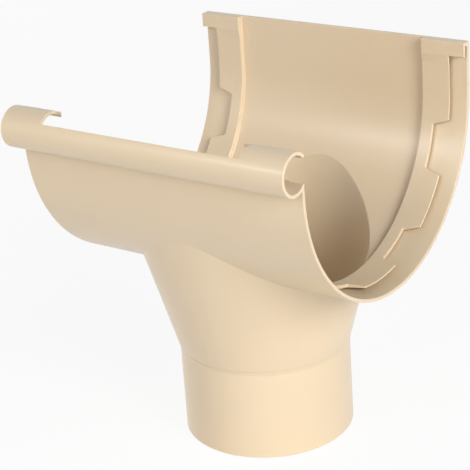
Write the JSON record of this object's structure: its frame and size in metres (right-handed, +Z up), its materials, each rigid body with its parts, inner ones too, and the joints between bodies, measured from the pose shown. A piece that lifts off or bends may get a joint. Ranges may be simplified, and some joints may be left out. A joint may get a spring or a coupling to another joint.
{
  "type": "gutter outlet",
  "caption": "Moulded outlet joining a half-round gutter to a round downpipe, with a rolled front bead, rear hooks and notched lips with gutter slots at its ends.",
  "frame": {"origin": "centre of the spigot's lower mouth", "axes": "+Z up along the spigot, +X along the gutter, +Y towards the wall side, where the trough is high; the rolled bead is at the -Y front"},
  "size_m": [0.1444, 0.1548, 0.1754],
  "materials": {
    "rigid_pvc": "satin"
  },
  "bodies": {
    "root": {"gutter_outlet": "rigid_pvc"}
  },
  "joints": []
}
